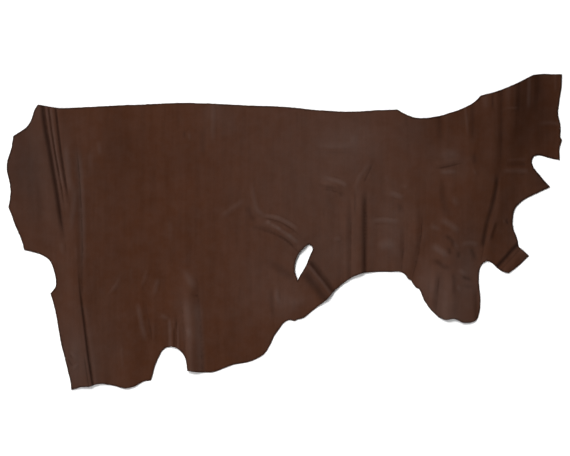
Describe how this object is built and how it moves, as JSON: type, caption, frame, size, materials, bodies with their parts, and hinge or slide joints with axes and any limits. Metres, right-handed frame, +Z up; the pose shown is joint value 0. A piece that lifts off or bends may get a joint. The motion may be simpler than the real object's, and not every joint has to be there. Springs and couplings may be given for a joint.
{
  "type": "leather hide",
  "caption": "A side of dark brown leather: half a cowhide cut along the back, lying grain side up with soft folds, an uneven outline and a natural hole in the flank.",
  "frame": {"origin": "on the surface that the hide lies on, under the middle of its length and width", "axes": "+X from the butt to the neck, +Y from the belly to the back, +Z up, out of the grain side"},
  "size_m": [2.2206, 1.2635, 0.0129],
  "materials": {
    "leather": "satin, dark chocolate brown, fine grain"
  },
  "bodies": {
    "root": {"hide": "leather"}
  },
  "joints": []
}
